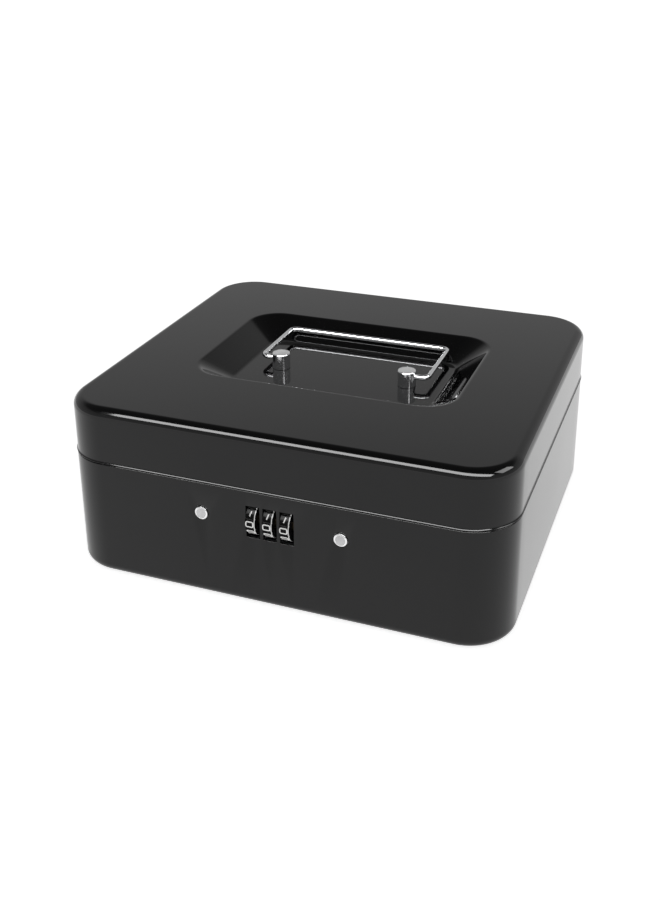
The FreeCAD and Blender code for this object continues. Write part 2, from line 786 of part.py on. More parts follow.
# ---- number wheels ---------------------------------------------------------------------------------------
def wheel(x):
    start = vec(x - wheel_thickness / 2, wheel_y, wheel_height)
    ring = rod(wheel_radius, wheel_thickness, start, AXIS_X)
    rim = [edge for edge in ring.Edges if edge.Curve.TypeId == "Part::GeomCircle"]
    ring = ring.makeFillet(wheel_edge, rim)
    through = wheel_thickness + 2 * overrun
    cuts = [rod(wheel_bore_diameter / 2, through, start - AXIS_X * overrun, AXIS_X)]
    step = 360.0 / digits_per_wheel
    for index in range(digits_per_wheel):
        angle = math.radians((index + 0.5) * step)
        reach = wheel_radius + groove_radius / 3
        centre = vec(start.x - overrun, wheel_y - reach * math.cos(angle),
                     wheel_height + reach * math.sin(angle))
        cuts.append(rod(groove_radius, through, centre, AXIS_X))
    return ring.cut(cuts)


def tumbler(x):
    """Gate disc with a flat below and above, on a sleeve that fills the wheel's bore."""
    face = x + wheel_thickness / 2
    disc = rod(tumbler_diameter / 2, tumbler_thickness, vec(face, wheel_y, wheel_height), AXIS_X)
    reach = tumbler_diameter
    for side in (-1, 1):
        z0 = wheel_height + side * tumbler_flat
        disc = disc.cut(block(face - overrun, face + tumbler_thickness + overrun,
                              wheel_y - reach, wheel_y + reach,
                              min(z0, z0 + side * reach), max(z0, z0 + side * reach)))
    sleeve_radius = wheel_bore_diameter / 2 - sleeve_clearance
    sleeve = rod(sleeve_radius, wheel_thickness - sleeve_end_gap,
                 vec(x - wheel_thickness / 2 + sleeve_end_gap, wheel_y, wheel_height), AXIS_X)
    bore = rod(shaft_diameter / 2 + shaft_clearance, 2 * wheel_pitch,
               vec(x - wheel_pitch, wheel_y, wheel_height), AXIS_X)
    return fused(disc, sleeve).cut(bore)


def dial_shaft():
    left = -ear_inner - ear_sheet - lever_travel - shaft_end_gap
    shank = rod(shaft_diameter / 2, lever_x - left, vec(left, wheel_y, wheel_height), AXIS_X)
    head = rod(shaft_head_diameter / 2, shaft_head_thickness,
               vec(left - shaft_head_thickness, wheel_y, wheel_height), AXIS_X)
    return fused(shank, head)


def code_lever():
    hub = block(lever_x, lever_x + lever_sheet, wheel_y - lever_hub_half, wheel_y + lever_hub_half,
                wheel_height - lever_hub_half, lever_arm_top)
    arm_end = cover_outside + lever_knob_gap + lever_knob_depth / 2
    arm = block(lever_x, lever_x + lever_sheet, wheel_y, arm_end, lever_arm_bottom, lever_arm_top)
    middle = (lever_arm_bottom + lever_arm_top) / 2
    centre_x = lever_x + lever_sheet / 2
    knob = block(centre_x - lever_knob_width / 2, centre_x + lever_knob_width / 2,
                 cover_outside + lever_knob_gap, cover_outside + lever_knob_gap + lever_knob_depth,
                 middle - lever_knob_height / 2, middle + lever_knob_height / 2)
    knob = knob.makeFillet(lever_knob_edge, knob.Edges)
    return fused(hub, arm, knob)


def detent_spring():
    """Leaf comb above the wheels, one finger over each rim."""
    bottom = wheel_height + wheel_radius + detent_gap
    root = block(-detent_half_width, detent_half_width, frame_back, frame_back + detent_root,
                 bottom, bottom + detent_sheet)
    fingers = []
    for x in wheel_centres:
        fingers.append(block(x - detent_finger_width / 2, x + detent_finger_width / 2,
                             frame_back, wheel_y + detent_root,
                             bottom, bottom + detent_sheet))
    return fused(root, *fingers)


# ---- coin tray ------------------------------------------------------------------------------------
def cup(x0, x1, y0, y1):
    half_x = (x1 - x0) / 2
    half_y = (y1 - y0) / 2
    shape = rounded_prism(half_x, half_y, cup_corner_radius, tray_bottom + tray_wall, tray_top + overrun)
    shape = shape.makeFillet(cup_floor_radius, level_edges(shape, tray_bottom + tray_wall))
    shape.translate(vec((x0 + x1) / 2, (y0 + y1) / 2, 0))
    return shape


def cup_rows():
    """Plan extents of every compartment: coins in front, notes behind."""
    rows = []
    divider = tray_front + tray_wall + coin_cup_depth
    for count, y0, y1 in ((coin_cups, tray_front + tray_wall, divider),
                          (note_cups, divider + tray_wall, tray_back - tray_wall)):
        width = (2 * tray_half_width - (count + 1) * tray_wall) / count
        for index in range(count):
            x0 = -tray_half_width + tray_wall + index * (width + tray_wall)
            rows.append((x0, x0 + width, y0, y1))
    return rows


def coin_tray():
    middle = (tray_front + tray_back) / 2
    half = (tray_back - tray_front) / 2
    body = rounded_prism(tray_half_width, half, tray_corner_radius, tray_bottom, tray_top, middle)
    return body.cut([cup(*extent) for extent in cup_rows()])


def tray_ledge(side):
    outer = half_width - base_inset - sheet
    top = tray_bottom - tray_seat_gap
    shelf = block(outer - ledge_width, outer, ledge_front, ledge_back, top - ledge_sheet, top)
    leg = block(outer - ledge_sheet, outer, ledge_front, ledge_back, top - ledge_leg, top)
    ledge = fused(shelf, leg)
    return ledge if side > 0 else mirrored(ledge)


# ---- write one STEP file per node ---------------------------------------------------------------
def build_parts():
    parts = {
        "base_shell": base_shell(),
        "lid_shell": lid_shell(),
        "post_washers": post_washers(),
        "post_screws": post_screws(),
        "handle_bail": handle_bail(),
        "lock_frame": lock_frame(),
        "lock_cover": lock_cover(),
        "cover_screws": cover_screws(),
        "guide_pins": guide_pins(),
        "latch_springs": latch_springs(),
        "latch_slide": latch_slide(),
        "fence_comb": fence_comb(),
        "fence_rivets": fence_rivets(),
        "dial_shaft": dial_shaft(),
        "code_lever": code_lever(),
        "detent_spring": detent_spring(),
        "coin_tray": coin_tray(),
    }
    for name, side in (("left", -1), ("right", 1)):
        parts["hinge_leaf_base_" + name] = base_leaf(side * hinge_spacing / 2)
        parts["hinge_leaf_lid_" + name] = lid_leaf(side * hinge_spacing / 2)
        parts["hinge_pin_" + name] = hinge_pin(side * hinge_spacing / 2)
        parts["handle_post_" + name] = handle_post(side)
        parts["striker_" + name] = striker(side)
        parts["button_" + name] = button(side)
        parts["button_clip_" + name] = button_clip(side)
        parts["tray_ledge_" + name] = tray_ledge(side)
    for name, x in zip(("left", "middle", "right"), wheel_centres):
        parts["number_wheel_" + name] = wheel(x)
        parts["tumbler_" + name] = tumbler(x)
    return parts


os.makedirs("parts", exist_ok=True)
for node, shape in build_parts().items():
    if not shape.isValid():
        raise ValueError(node + " is not a valid shape")
    shape.exportStep("parts/" + node + ".step")
    print(node, len(shape.Solids), round(shape.Volume, 1))
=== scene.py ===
"""Looks of the cash box: pressed shells, wire handle, number wheels, buttons, and the finish of every part.

Everything is in metres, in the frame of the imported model: +Z up, front towards -Y.
"""

import math

import bmesh
import bpy
from mathutils import Matrix, Vector


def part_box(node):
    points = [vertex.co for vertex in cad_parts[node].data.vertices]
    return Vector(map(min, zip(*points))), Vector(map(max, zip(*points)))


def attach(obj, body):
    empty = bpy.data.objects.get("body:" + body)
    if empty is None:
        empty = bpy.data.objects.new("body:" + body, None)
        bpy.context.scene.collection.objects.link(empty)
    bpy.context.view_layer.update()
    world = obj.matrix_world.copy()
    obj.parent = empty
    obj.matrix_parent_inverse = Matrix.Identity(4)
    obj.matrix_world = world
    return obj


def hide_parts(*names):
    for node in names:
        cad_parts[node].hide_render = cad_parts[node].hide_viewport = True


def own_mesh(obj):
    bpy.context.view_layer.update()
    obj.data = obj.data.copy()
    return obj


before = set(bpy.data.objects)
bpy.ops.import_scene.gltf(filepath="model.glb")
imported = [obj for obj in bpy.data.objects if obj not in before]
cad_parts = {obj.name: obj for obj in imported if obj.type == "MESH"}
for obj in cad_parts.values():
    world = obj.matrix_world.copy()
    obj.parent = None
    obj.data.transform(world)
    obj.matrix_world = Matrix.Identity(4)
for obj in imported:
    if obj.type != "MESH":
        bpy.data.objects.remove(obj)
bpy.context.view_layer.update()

MM = 0.001

# ---- places read from the frame ------------------------------------------------------------------
LID_LOW, LID_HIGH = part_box("lid_shell")
BASE_LOW, BASE_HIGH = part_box("base_shell")
TOP = LID_HIGH.z
FLOOR = BASE_LOW.z
HALF_WIDTH = (LID_HIGH.x - LID_LOW.x) / 2
HALF_DEPTH = (LID_HIGH.y - LID_LOW.y) / 2
BASE_INSET = HALF_WIDTH - (BASE_HIGH.x - BASE_LOW.x) / 2
RIM = LID_LOW.z
COLLAR_TOP = BASE_HIGH.z
BASE_FRONT = BASE_LOW.y

# ---- pressed steel -------------------------------------------------------------------------------
SHEET = 1.0 * MM
SEAM = 0.6 * MM
SHOULDER = RIM - SEAM
CORNER = 27 * MM
LID_EDGE = 5.5 * MM
BASE_EDGE = 5 * MM
COLLAR_INSET = 1.5 * MM
SHOULDER_ROUND = 0.5 * MM
RIM_FLARE = 0.5 * MM         # lid wall set in above its flared rim
RIM_LIP = 0.35 * MM          # upright edge under the flare
RIM_SLOPE = 0.65 * MM        # height of the flare
FLARE_BEND = 0.12            # share of the flare in each of its softened bends
LID_WALL = 1.35 * MM         # inner face of the lid wall
CUT_ROUND = 0.2 * MM
HINGE_MARGIN = 0.7 * MM
COLLAR_MARGIN = 1.4 * MM
KNUCKLE = 2.5 * MM           # radius
PAN_HALF_X = 77 * MM
PAN_HALF_Y = 52 * MM
PAN_Y = 2.5 * MM
PAN_DEPTH = 11 * MM
PAN_RUN = 16.5 * MM
PAN_CORNER = 19 * MM
PAN_FLOOR_BLEND = 6 * MM
PAN_RIM_BLEND = 4 * MM
PAN_CORNER_TAPER = 0.55
FLOOR_RING = 60 * MM        # innermost ring of the base floor, in from its rounded edge
SUPPORT = 0.5 * MM          # extra ring beside each blend, so that flats stay flat

# ---- front openings, handle and wheels -----------------------------------------------------------
WINDOW_PITCH = 9.5 * MM
WINDOW_WIDTH = 7.6 * MM
WINDOW_HEIGHT = 18.4 * MM
OPENING_ROUND = 0.22 * MM
OPENING_MARGIN = 2 * MM
BUTTON_GAP = 0.35 * MM
BUTTON_RING = 0.95 * MM
WIRE_BEND = 4 * MM
WIRE_ENGAGEMENT = 4.6 * MM
WIRE_END = 0.3 * MM
WIRE_HOLE_GAP = 0.05 * MM    # radial
POST_BEVEL = 0.5 * MM
BUTTON_STEM = 2.5 * MM       # radius
WHEEL_BORE = 3.5 * MM        # radius
WHEEL_WEB = 2.2 * MM         # depth of the rim on each face of the wheel
DIGITS = 10
FLUTE = 0.6 * MM
DIGIT_WIDTH = 3.9 * MM      # centre lines
DIGIT_HEIGHT = 2.9 * MM
DIGIT_STROKE = 0.68 * MM
DIGIT_CORNER = 0.75 * MM
DIGIT_STEP = 0.3 * MM
DIGIT_CENTRE = 2.65 * MM    # from the left face of the wheel
# width of the white ring near each wheel's right edge, a painted highlight
RIM_HIGHLIGHT_WIDTH = 0.5 * MM
WHEEL_EDGE = 0.35 * MM
SPRING_WIRE = 0.6 * MM
SPRING_TURNS = 6
INLAY_LIFT = 0.03 * MM
INLAY_SINK = 0.12 * MM
INLAY_SECTION = ((1, INLAY_LIFT), (-1, INLAY_LIFT), (-1, -INLAY_SINK), (1, -INLAY_SINK))

AXIS_X = Vector((1, 0, 0))
AXIS_Y = Vector((0, 1, 0))
AXIS_Z = Vector((0, 0, 1))

# ---- counts --------------------------------------------------------------------------------------
CORNER_STEPS = 20
SIDE_STEPS = 16
BLEND_STEPS = 8
TURN_STEPS = 96


# ---- mesh helpers --------------------------------------------------------------------------------
def new_object(name, mesh, smooth_angle=30):
    """Object from a bmesh, shaded smooth except at edges sharper than the angle."""
    bmesh.ops.recalc_face_normals(mesh, faces=mesh.faces)
    data = bpy.data.meshes.new(name)
    mesh.to_mesh(data)
    mesh.free()
    thing = bpy.data.objects.new(name, data)
    bpy.context.scene.collection.objects.link(thing)
    finish_shading(thing, smooth_angle)
    return thing


def finish_shading(thing, angle=30):
    thing.data.shade_smooth()
    thing.data.set_sharp_from_angle(angle=math.radians(angle))


def skin_rings(mesh, rings, closed=False):
    """Quads between successive rings of the same number of points."""
    made = [[mesh.verts.new(point) for point in ring] for ring in rings]
    pairs = list(zip(made, made[1:]))
    if closed:
        pairs.append((made[-1], made[0]))
    for low, high in pairs:
        count = len(low)
        for index in range(count):
            after = (index + 1) % count
            mesh.faces.new((low[index], low[after], high[after], high[index]))
    return made


def plan_ring(half_x, half_y, radius, z, centre_y=0.0):
    """Level ring in the shape of a rectangle with round corners."""
    points = []
    corners = ((1, 1, 0), (-1, 1, 90), (-1, -1, 180), (1, -1, 270))
    for side_x, side_y, start in corners:
        centre = Vector((side_x * (half_x - radius), centre_y + side_y * (half_y - radius), z))
        for step in range(CORNER_STEPS + 1):
            angle = math.radians(start + 90 * step / CORNER_STEPS)
            points.append(centre + Vector((math.cos(angle), math.sin(angle), 0)) * radius)
        last = points[-1]
        next_x, next_y, next_start = corners[(corners.index((side_x, side_y, start)) + 1) % 4]
        angle = math.radians(next_start)
        following = Vector((next_x * (half_x - radius), centre_y + next_y * (half_y - radius), z))
        following = following + Vector((math.cos(angle), math.sin(angle), 0)) * radius
        for step in range(1, SIDE_STEPS):
            points.append(last.lerp(following, step / SIDE_STEPS))
    return points


def inset_ring(inset, z):
    return plan_ring(HALF_WIDTH - inset, HALF_DEPTH - inset, CORNER - inset, z)


def pan_ring(shrink, z):
    """Ring of the lid's pan: its outline at the lid top, drawn in by the given amount."""
    radius = PAN_CORNER - shrink * PAN_CORNER_TAPER
    return plan_ring(PAN_HALF_X - shrink, PAN_HALF_Y - shrink, radius, z, PAN_Y)


def arc(centre, radius, start, end, steps=BLEND_STEPS):
    """Points (across, up) on an arc, angles in degrees."""
    points = []
    for step in range(steps + 1):
        angle = math.radians(start + (end - start) * step / steps)
        points.append((centre[0] + radius * math.cos(angle), centre[1] + radius * math.sin(angle)))
    return points


def close_ring(mesh, ring):
    mesh.faces.new(ring)


def lathe(mesh, profile, start, axis, side, steps=TURN_STEPS):
    """Turned solid: profile of (radius, distance along the axis); radius 0 closes an end."""
    other = axis.cross(side)
    rings = []
    ends = {}
    for index, (radius, along) in enumerate(profile):
        centre = start + axis * along
        if radius == 0:
            ends[index] = mesh.verts.new(centre)
            continue
        ring = []
        for step in range(steps):
            angle = math.tau * step / steps
            ring.append(centre + (side * math.cos(angle) + other * math.sin(angle)) * radius)
        rings.append(ring)
    made = skin_rings(mesh, rings)
    for index, tip in ends.items():
        ring = made[0] if index == 0 else made[-1]
        for step in range(steps):
            mesh.faces.new((ring[step], ring[(step + 1) % steps], tip))


def fillet_path(points, radius, steps=10):
    """Open path through the points with every inner corner rounded."""
    path = [points[0]]
    for before, corner, after in zip(points, points[1:], points[2:]):
        back = (before - corner).normalized()
        ahead = (after - corner).normalized()
        half = back.angle(ahead) / 2
        reach = radius / math.tan(half)
        centre = corner + (back + ahead).normalized() * radius / math.sin(half)
        first = corner + back * reach - centre
        last = corner + ahead * reach - centre
        turn = first.rotation_difference(last)
        for step in range(steps + 1):
            part = turn.copy()
            part.angle = turn.angle * step / steps
            path.append(centre + part @ first)
    path.append(points[-1])
    return path


def cut(thing, cutters):
    """Cuts the joined cutters out of an object and removes them."""
    for cutter in cutters:
        tool = thing.modifiers.new("cut", "BOOLEAN")
        tool.operation = "DIFFERENCE"
        tool.solver = "EXACT"
        tool.object = cutter
    evaluated = thing.evaluated_get(bpy.context.evaluated_depsgraph_get())
    data = bpy.data.meshes.new_from_object(evaluated)
    thing.modifiers.clear()
    old = thing.data
    thing.data = data
    bpy.data.meshes.remove(old)
    for cutter in cutters:
        shape = cutter.data
        bpy.data.objects.remove(cutter)
        bpy.data.meshes.remove(shape)


def box_cutter(low, high):
    mesh = bmesh.new()
    bmesh.ops.create_cube(mesh, size=1)
    for vert in mesh.verts:
        for axis in range(3):
            vert.co[axis] = low[axis] if vert.co[axis] < 0 else high[axis]
    return new_object("cutter", mesh)


def round_cutter(radius, start, length, axis, side):
    mesh = bmesh.new()
    lathe(mesh, [(0, 0), (radius, 0), (radius, length), (0, length)], start, axis, side, 48)
    return new_object("cutter", mesh)


def soften_openings(thing, plane_y, low, high, width):
    """Small round on the outer edge of every opening within a stretch of the front wall."""
    mesh = bmesh.new()
    mesh.from_mesh(thing.data)
    edges = []
    for edge in mesh.edges:
        on_wall = all(abs(vert.co.y - plane_y) < 0.01 * MM for vert in edge.verts)
        inside = all(low[0] < vert.co.x < high[0] and low[1] < vert.co.z < high[1] for vert in edge.verts)
        if on_wall and inside and len(edge.link_faces) == 2 and edge.calc_face_angle() > 1:
            edges.append(edge)
    bmesh.ops.bevel(mesh, geom=edges, offset=width, segments=3, affect="EDGES", profile=0.5)
    mesh.to_mesh(thing.data)
    mesh.free()


# ---- material helpers ----------------------------------------------------------------------------
class Finish:
    """A Principled material with object-space detail, built up a layer at a time."""

    def __init__(self, name, color, roughness, metallic=0.0, ior=1.5):
        self.material = bpy.data.materials.new(name)
        self.material.use_nodes = True
        self.tree = self.material.node_tree
        self.shader = self.tree.nodes["Principled BSDF"]
        self.shader.inputs["Metallic"].default_value = metallic
        self.shader.inputs["IOR"].default_value = ior
        self.position = self.add("ShaderNodeTexCoord").outputs["Object"]
        self.color = tuple(color) + (1.0,)
        self.roughness = roughness
        self.normal = None

    def add(self, kind, **values):
        node = self.tree.nodes.new(kind)
        for key, value in values.items():
            setattr(node, key, value)
        return node

    def link(self, source, target):
        self.tree.links.new(source, target)

    def stretched(self, scale):
        mapping = self.add("ShaderNodeMapping")
        mapping.inputs["Scale"].default_value = scale
        self.link(self.position, mapping.inputs["Vector"])
        return mapping.outputs["Vector"]

    def noise(self, scale, detail=3.0, roughness=0.5, stretch=None):
        node = self.add("ShaderNodeTexNoise")
        node.inputs["Scale"].default_value = scale
        node.inputs["Detail"].default_value = detail
        node.inputs["Roughness"].default_value = roughness
        self.link(self.stretched(stretch) if stretch else self.position, node.inputs["Vector"])
        return node.outputs["Fac"]

    def ranged(self, value, low, high, to_low=0.0, to_high=1.0):
        node = self.add("ShaderNodeMapRange")
        node.inputs["From Min"].default_value = low
        node.inputs["From Max"].default_value = high
        node.inputs["To Min"].default_value = to_low
        node.inputs["To Max"].default_value = to_high
        self.link(value, node.inputs["Value"])
        return node.outputs["Result"]

    def edges(self, low=0.52, high=0.6):
        """1 on outward edges, 0 elsewhere."""
        return self.ranged(self.add("ShaderNodeNewGeometry").outputs["Pointiness"], low, high)

    def product(self, first, second):
        node = self.add("ShaderNodeMath", operation="MULTIPLY")
        self.link(first, node.inputs[0])
        self.link(second, node.inputs[1])
        return node.outputs[0]

    def tint(self, mask, color):
        """Mixes another colour in where the mask is 1."""
        node = self.add("ShaderNodeMix", data_type="RGBA")
        base, other = node.inputs[6], node.inputs[7]
        if isinstance(self.color, tuple):
            base.default_value = self.color
        else:
            self.link(self.color, base)
        other.default_value = tuple(color) + (1.0,)
        self.link(mask, node.inputs[0])
        self.color = node.outputs[2]

    def roughen(self, mask, roughness):
        """Moves the roughness to another value where the mask is 1."""
        node = self.add("ShaderNodeMix", data_type="FLOAT")
        base, other = node.inputs[2], node.inputs[3]
        if isinstance(self.roughness, float):
            base.default_value = self.roughness
        else:
            self.link(self.roughness, base)
        other.default_value = roughness
        self.link(mask, node.inputs[0])
        self.roughness = node.outputs[0]

    def relief(self, height, strength, distance):
        node = self.add("ShaderNodeBump")
        node.inputs["Strength"].default_value = strength
        node.inputs["Distance"].default_value = distance
        self.link(height, node.inputs["Height"])
        if self.normal is not None:
            self.link(self.normal, node.inputs["Normal"])
        self.normal = node.outputs["Normal"]

    def done(self):
        for name, value in (("Base Color", self.color), ("Roughness", self.roughness)):
            if isinstance(value, (tuple, float)):
                self.shader.inputs[name].default_value = value
            else:
                self.link(value, self.shader.inputs[name])
        if self.normal is not None:
            self.link(self.normal, self.shader.inputs["Normal"])
        return self.material


def enamel():
    """Baked gloss black paint: orange peel, faint clouding, fine rubbed scratches."""
    finish = Finish("gloss_black_enamel", (0.0032, 0.0032, 0.0035), 0.05, ior=1.37)
    clouds = finish.noise(18, detail=4)
    finish.tint(finish.ranged(clouds, 0.35, 0.75), (0.0048, 0.0047, 0.005))
    finish.roughen(finish.ranged(clouds, 0.3, 0.8), 0.08)
    rub = finish.noise(90, detail=6, roughness=0.7, stretch=(1.0, 14.0, 14.0))
    finish.roughen(finish.ranged(rub, 0.62, 0.8), 0.16)
    worn = finish.product(finish.edges(0.56, 0.66), finish.ranged(finish.noise(240, detail=5), 0.5, 0.75))
    finish.tint(worn, (0.03, 0.03, 0.032))
    finish.relief(finish.noise(14, detail=1), 0.10, 0.9 * MM)
    finish.relief(finish.noise(620, detail=2), 0.05, 0.03 * MM)
    return finish.done()


def chrome(name, roughness=0.05, color=(0.74, 0.745, 0.755)):
    """Bright plated steel with a faint haze and hairline wipe marks."""
    finish = Finish(name, color, roughness, metallic=1.0)
    haze = finish.noise(160, detail=5, roughness=0.65)
    finish.tint(finish.ranged(haze, 0.45, 0.8), tuple(0.86 * part for part in color))
    finish.roughen(finish.ranged(haze, 0.4, 0.75), roughness + 0.1)
    finish.relief(finish.noise(900, detail=3), 0.04, 0.02 * MM)
    return finish.done()


def satin_steel(name, color, roughness, grain=(1.0, 1.0, 1.0), scale=700):
    """Rolled or ground steel with directional grain and cloudy tarnish."""
    finish = Finish(name, color, roughness, metallic=1.0)
    clouds = finish.noise(70, detail=5, roughness=0.6)
    finish.tint(finish.ranged(clouds, 0.4, 0.75), tuple(0.72 * part for part in color))
    finish.roughen(finish.ranged(clouds, 0.35, 0.7), roughness + 0.14)
    finish.tint(finish.edges(), tuple(min(1.0, 1.25 * part) for part in color))
    finish.relief(finish.noise(scale, detail=4, stretch=grain), 0.16, 0.04 * MM)
    return finish.done()


def zinc(name, tone):
    """Plated mild steel: crystalline spangle and a cloudy sheen."""
    finish = Finish(name, tone, 0.34, metallic=1.0)
    spangle = finish.add("ShaderNodeTexVoronoi")
    spangle.inputs["Scale"].default_value = 340
    finish.link(finish.position, spangle.inputs["Vector"])
    finish.tint(finish.ranged(spangle.outputs["Distance"], 0.15, 0.7), tuple(0.8 * part for part in tone))
    finish.roughen(finish.ranged(finish.noise(110, detail=5), 0.4, 0.7), 0.5)
    finish.relief(finish.noise(800, detail=3), 0.12, 0.03 * MM)
    return finish.done()


def plastic(name, color, roughness, texture=900, depth=0.03):
    """Moulded plastic: fine spark-eroded grain, slight flow clouding, polished edges."""
    finish = Finish(name, color, roughness, ior=1.46)
    flow = finish.noise(24, detail=4)
    finish.tint(finish.ranged(flow, 0.35, 0.7), tuple(1.5 * part for part in color))
    finish.roughen(finish.edges(), max(0.1, roughness - 0.15))
    finish.relief(finish.noise(texture, detail=4, roughness=0.6), 0.35, depth * MM)
    return finish.done()


# White for the printed numerals, also used for the ring near each wheel's right edge that is a painted
# highlight.
def make_print_and_highlight_white():
    finish = Finish("numeral_print_and_painted_highlight", (0.8, 0.8, 0.79), 0.4, ior=1.46)
    finish.tint(finish.ranged(finish.noise(900, detail=4), 0.5, 0.8), (0.7, 0.7, 0.69))
    finish.relief(finish.noise(1500, detail=2), 0.2, 0.02 * MM)
    return finish.done()


def dress(node, material):
    """Gives a carried-over CAD node its finish in every slot."""
    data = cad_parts[node].data
    if not data.materials:
        data.materials.append(material)
    for index in range(len(data.materials)):
        data.materials[index] = material


def place(thing, body, slot, material, *nodes):
    """A new piece: its body, finish, and the CAD nodes it stands for; the slot argument is not used."""
    thing.data.materials.clear()
    thing.data.materials.append(material)
    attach(thing, body)
    if nodes:
        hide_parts(*nodes)
    return thing


# ---- pressed shells ------------------------------------------------------------------------------
def hinge_openings():
    """Cutters for the notch round each hinge, a little wider than the pin and its heads."""
    cutters = []
    reach = KNUCKLE + HINGE_MARGIN
    front = HALF_DEPTH - COLLAR_INSET - SHEET - HINGE_MARGIN
    for name in ("hinge_pin_left", "hinge_pin_right"):
        low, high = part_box(name)
        middle = (low + high) / 2
        cutters.append(box_cutter((low.x - HINGE_MARGIN, front, middle.z - reach),
                                  (high.x + HINGE_MARGIN, HALF_DEPTH + 2 * HINGE_MARGIN, middle.z + reach)))
    return cutters


def collar_openings():
    """Cutters that clear the collar above each hinge."""
    cutters = []
    front = HALF_DEPTH - COLLAR_INSET - SHEET - COLLAR_MARGIN
    for name in ("hinge_pin_left", "hinge_pin_right"):
        low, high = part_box(name)
        cutters.append(box_cutter((low.x - COLLAR_MARGIN, front, (low.z + high.z) / 2),
                                  (high.x + COLLAR_MARGIN, HALF_DEPTH - SHEET, COLLAR_TOP + COLLAR_MARGIN)))
    return cutters


def pan_section(grow):
    """Pan wall as (shrink, drop) points: rim round, then floor round, with the straight slope between.

    grow moves the wall into the steel, along its normal, for the underside."""
    angle = math.atan2(PAN_DEPTH, PAN_RUN)
    tangent = math.tan(angle / 2)
    points = []
    rim = PAN_RIM_BLEND - grow
    for step in range(BLEND_STEPS + 1):
        turn = angle * step / BLEND_STEPS
        points.append((-PAN_RIM_BLEND * tangent + rim * math.sin(turn), PAN_RIM_BLEND - rim * math.cos(turn)))
    floor = PAN_FLOOR_BLEND + grow
    centre = (PAN_RUN + PAN_FLOOR_BLEND * tangent, PAN_DEPTH - PAN_FLOOR_BLEND)
    for step in range(BLEND_STEPS + 1):
        turn = angle * (1 - step / BLEND_STEPS)
        points.append((centre[0] - floor * math.sin(turn), centre[1] + floor * math.cos(turn)))
    return points


def pan_rings(grow):
    """Rings from the flat lid down into the pan and in towards the middle of its floor."""
    section = pan_section(grow)
    first, last = section[0], section[-1]
    rings = [pan_ring(first[0] - SUPPORT, TOP - first[1])]
    rings += [pan_ring(shrink, TOP - drop) for shrink, drop in section]
    rings.append(pan_ring(last[0] + SUPPORT, TOP - last[1]))
    corner = PAN_CORNER - last[0] * PAN_CORNER_TAPER
    for share in (0.35, 0.7):
        shrink = last[0] + share * (PAN_HALF_Y - last[0])
        rings.append(plan_ring(PAN_HALF_X - shrink, PAN_HALF_Y - shrink, corner * (1 - share),
                               TOP - last[1], PAN_Y))
    return rings


def lid_skin():
    mesh = bmesh.new()
    outer = [inset_ring(CUT_ROUND - across, RIM + CUT_ROUND + up)
             for across, up in arc((0, 0), CUT_ROUND, -90, 0, 3)]
    lip = RIM + RIM_LIP
    flare = lip + RIM_SLOPE
    bend = FLARE_BEND / 2 * RIM_SLOPE
    outer += [inset_ring(0, lip),
              inset_ring(FLARE_BEND * RIM_FLARE, lip + bend),
              inset_ring((1 - FLARE_BEND) * RIM_FLARE, flare - bend),
              inset_ring(RIM_FLARE, flare + 0.2 * RIM_SLOPE),
              inset_ring(RIM_FLARE, flare + SUPPORT),
              inset_ring(RIM_FLARE, TOP - LID_EDGE - SUPPORT)]
    outer += [inset_ring(RIM_FLARE + LID_EDGE - across, TOP - LID_EDGE + up)
              for across, up in arc((0, 0), LID_EDGE, 0, 90, 2 * BLEND_STEPS)]
    outer.append(inset_ring(RIM_FLARE + LID_EDGE + SUPPORT, TOP))
    outer += pan_rings(0)
    inner = [inset_ring(SHEET - CUT_ROUND / 2, RIM),
             inset_ring(SHEET, RIM + CUT_ROUND),
             inset_ring(LID_WALL, flare),
             inset_ring(LID_WALL, TOP - LID_EDGE)]
    inner_round = LID_EDGE + RIM_FLARE - LID_WALL
    inner += [inset_ring(LID_WALL + inner_round - across, TOP - SHEET - inner_round + up)
              for across, up in arc((0, 0), inner_round, 0, 90)]
    inner.append(inset_ring(LID_WALL + inner_round + SUPPORT, TOP - SHEET))
    inner += pan_rings(SHEET)
    made_outer = skin_rings(mesh, outer)
    made_inner = skin_rings(mesh, inner)
    close_ring(mesh, made_outer[-1])
    close_ring(mesh, list(reversed(made_inner[-1])))
    outside, inside = made_outer[0], made_inner[0]
    for index in range(len(outside)):
        after = (index + 1) % len(outside)
        mesh.faces.new((outside[index], inside[index], inside[after], outside[after]))
    skin = new_object("lid_skin", mesh)
    cut(skin, hinge_openings())
    finish_shading(skin)
    return skin


